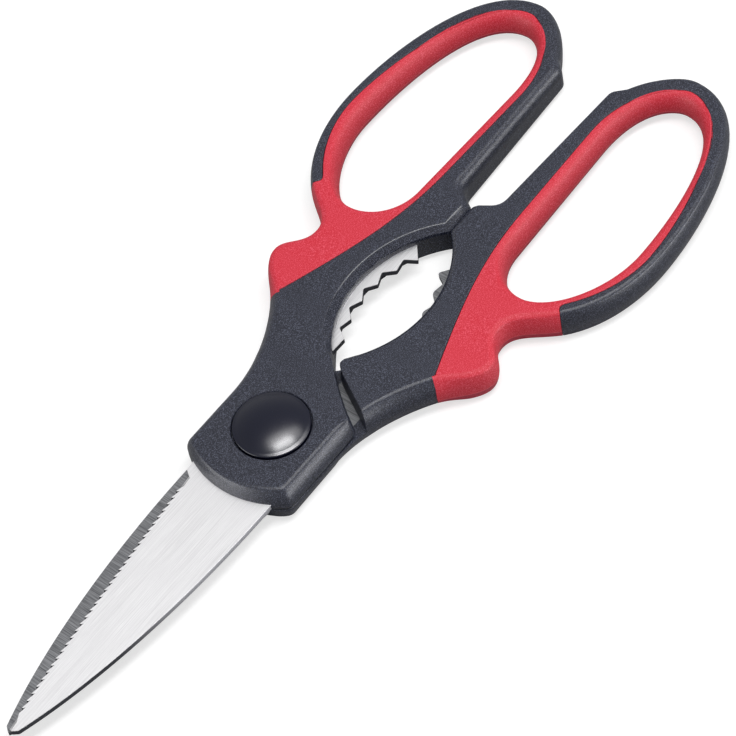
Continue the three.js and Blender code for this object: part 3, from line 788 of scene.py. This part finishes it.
red = Finish("grip_rubber", Roughness=0.55, IOR=1.45)
red_grain = red.noise(3.6, 2.0)
red_speck = red.noise(4.8, 1.0).ease(0.42, 0.78)
PARTING_HEIGHT = HALF + 0.78 * PARTING
height = red.axis("Z")
# Painted highlight: a pale line along the parting line of the mould, where its ridge catches the light.
parting_highlight = abs(height - PARTING_HEIGHT).ease(0.04, 0.14, 0.35, 0.0)
# Painted shade: the red is made darker and more purple under the parting line.
below = height.ease(PARTING_HEIGHT - 0.3, PARTING_HEIGHT, 0.5, 0.0)
skin = red.mix(red_speck * 0.9, colour(213, 34, 54), colour(243, 96, 116))
red.set("Base Color", red.mix(parting_highlight, red.mix(below, skin, colour(128, 30, 60)), colour(236, 150, 165)))
red.set("Roughness", 0.5 + red_grain * 0.15)
red.set("Normal", red.bump(red_grain, 0.22, 0.1))
red.wear(*grips)

gloss = Finish("cap_plastic", IOR=1.38)
gloss.set("Base Color", gloss.mix(gloss.noise(0.3, 1.0), colour(4, 8, 30), colour(7, 11, 34)))
gloss.set("Roughness", 0.23 + gloss.noise(8, 2.0) * 0.06)
gloss.wear(*covers)
print("plastic finishes:", charcoal.material.name, red.material.name, gloss.material.name)

# %% [markdown]
# ## Steel
# The sheet is brushed along its length: a noise that is stretched far along X makes the streaks, and two more
# at an angle make crossing scratches. Its cut sides are rougher, and painted dark as painted shade, which an
# attribute of the steep faces tells. Only the spine near the hub is painted lighter, as painted light. On the
# rear blade, the strip that shows beside the front edge is the hollow-ground inner face, ground across its
# width; its darker grey is painted shade.

# %% Steel finishes
def brushed(name, inner_strip):
    steel = Finish(name)
    streak = steel.noise(1.0, 4.0, (0.05, 7, 7), rough=0.65)
    scratch = steel.noise(1.0, 3.0, (0.2, 9, 9), turn=38).ease(0.55, 0.72)
    crossing = steel.noise(1.0, 3.0, (0.2, 8, 8), turn=-24).ease(0.55, 0.72)
    shine = streak.ease(0.3, 0.7) * 0.6 + scratch * 0.25 - crossing * 0.25
    face = steel.mix(shine, colour(222, 221, 223), colour(252, 252, 253))
    if inner_strip:
        across = steel.noise(1.0, 3.0, (5, 0.15, 0.15), turn=-6, rough=0.6)
        # Painted shade: the rear sheet is coloured a darker grey; its grind across the width is real.
        face = steel.mix(across.ease(0.3, 0.7), colour(96, 97, 100), colour(146, 147, 150))
    lean = steel.start.node("ShaderNodeAttribute", {"attribute_name": "steep"}, output="Fac")
    steep, facet = lean.ease(0.45, 0.75), lean.ease(0.08, 0.16)
    # Painted light: the spine near the hub is coloured lighter, where light falls on it.
    spine = steel.axis("X").ease(-62, -36) * steel.axis("Y").ease(-5, -2, 1, 0) * steel.axis("X").ease(0, 9, 1, 0)
    # Painted shade: the steep cut sides are coloured near black.
    side = steel.mix(spine, colour(40, 42, 50), colour(172, 172, 178))
    steel.set("Base Color", steel.mix(steep, face, side))
    steel.set("Metallic", 1 - facet * 0.8)
    steel.set("Roughness", 0.3 + streak * 0.2 + steep * 0.2)
    steel.set("Normal", steel.bump(streak, 0.08, 0.05))
    return steel


brushed("blade_steel", False).wear(blades[0])
brushed("rear_blade_steel", True).wear(blades[1])
turned_steel = Finish("pivot_steel", Metallic=1.0)
turned_steel.set("Base Color", turned_steel.mix(
    turned_steel.noise(3), colour(160, 160, 160), colour(186, 186, 188)))
turned_steel.set("Roughness", 0.35 + turned_steel.noise(9) * 0.15)
pivot_nodes = [frame["nodes"][name] for name in ("pivot_bolt", "spring_washer", "pivot_nut")]
turned_steel.wear(*pivot_nodes)
print("steel on", [o.name for o in blades + pivot_nodes])

# %% [markdown]
# ## Table, light and camera
# The table is a mid grey that also glows to the camera. So it looks white, but throws little light back, and
# the shadow on it stays faint. The world is white to the camera, and weaker as light.
# Lamps do the rest: one overhead and a low fill shade the forms, and two at the front and the side show only
# as sheen on edges. One more lamp is linked to the domed cover alone, for the soft spot on it. The camera
# stands where the photographer's stood: over the tips, with a long lens.

# %% Table
floor_mesh = bpy.data.meshes.new("table")
table_bm = bmesh.new()
bmesh.ops.create_grid(table_bm, x_segments=1, y_segments=1, size=3)
table_bm.to_mesh(floor_mesh)
table_bm.free()
table = bpy.data.objects.new("table", floor_mesh)
bpy.context.collection.objects.link(table)
paper = Finish("table_paper", Roughness=0.9)
paper.set("Base Color", paper.mix(paper.noise(0.02), (0.45, 0.45, 0.45, 1), (0.46, 0.46, 0.46, 1)))
paper.set("Emission Color", paper.start.node("ShaderNodeLightPath", output="Is Camera Ray") * 0.66)
paper.set("Emission Strength", 1.0)
paper.wear(table)

# %% Light
world = bpy.data.worlds.new("studio")
bpy.context.scene.world = world
world.use_nodes = True
world.node_tree.nodes.clear()
sky = Wire(world.node_tree)
ray = [sky.node("ShaderNodeLightPath", output=name) for name in
       ("Is Camera Ray", "Is Glossy Ray", "Is Transmission Ray")]
level = 0.28 + ray[0] * 0.72 + ray[1] * 0.42 + ray[2] * 0.72
background = sky.node("ShaderNodeBackground", inputs={"Color": level, "Strength": 1.0})
sky.node("ShaderNodeOutputWorld", inputs={"Surface": background})


def softbox(name, direction, length, size, radiance, sheen_only=False):
    """A lamp one metre away whose long side lies along a direction; its power follows from its radiance."""
    lamp = bpy.data.lights.new(name, "AREA")
    lamp.shape, lamp.size, lamp.size_y = "RECTANGLE", *size
    lamp.energy = radiance * math.pi * size[0] * size[1]
    obj = bpy.data.objects.new(name, lamp)
    bpy.context.collection.objects.link(obj)
    away = Vector(direction).normalized()
    across = away.cross(Vector(length)).normalized()
    axes = Matrix((across.cross(away), across, away)).transposed()
    obj.matrix_world = Matrix.Translation(away + Vector((0.02, 0, 0))) @ axes.to_4x4()
    obj.visible_diffuse = not sheen_only
    return obj


softbox("overhead", (0.16, -0.15, 0.98), (0.93, -0.37, 0), (1.0, 0.3), 8)
softbox("front", (0.40, -0.90, 0.17), (1, 0.4, 0), (1.0, 0.5), 7, sheen_only=True)
softbox("side", (-0.86, 0.45, 0.25), (0.45, 0.86, 0), (0.8, 0.5), 6, sheen_only=True)
gleam = softbox("gleam", (0.01, -0.26, 0.97), (0.93, -0.37, 0), (0.56, 0.2), 44, sheen_only=True)
gleam.light_linking.receiver_collection = bpy.data.collections.new("polished")
gleam.light_linking.receiver_collection.objects.link(covers[0])
fill_light = softbox("fill", (0.35, -0.93, 0.02), (1, 0.4, 0), (1.0, 0.3), 2.5)
fill_light.visible_glossy = False

# %% Camera
lens = bpy.data.cameras.new("camera")
lens.sensor_width, lens.lens = 36, 174.55
lens.clip_start, lens.clip_end = 0.01, 10
camera = bpy.data.objects.new("camera", lens)
bpy.context.collection.objects.link(camera)
aim = Vector((22.6, -8.14, 9.3)) * MM
right, up = Vector((0.6106, -0.7805, -0.1344)), Vector((0.6855, 0.4360, 0.5830))
back = right.cross(up).normalized()
turn = Matrix((right, back.cross(right).normalized(), back)).transposed()
camera.matrix_world = Matrix.Translation(aim + back * 750.4 * MM) @ turn.to_4x4()
bpy.context.scene.camera = camera
bpy.context.scene.view_settings.view_transform = "Standard"
print("camera at", [round(c, 4) for c in camera.location])
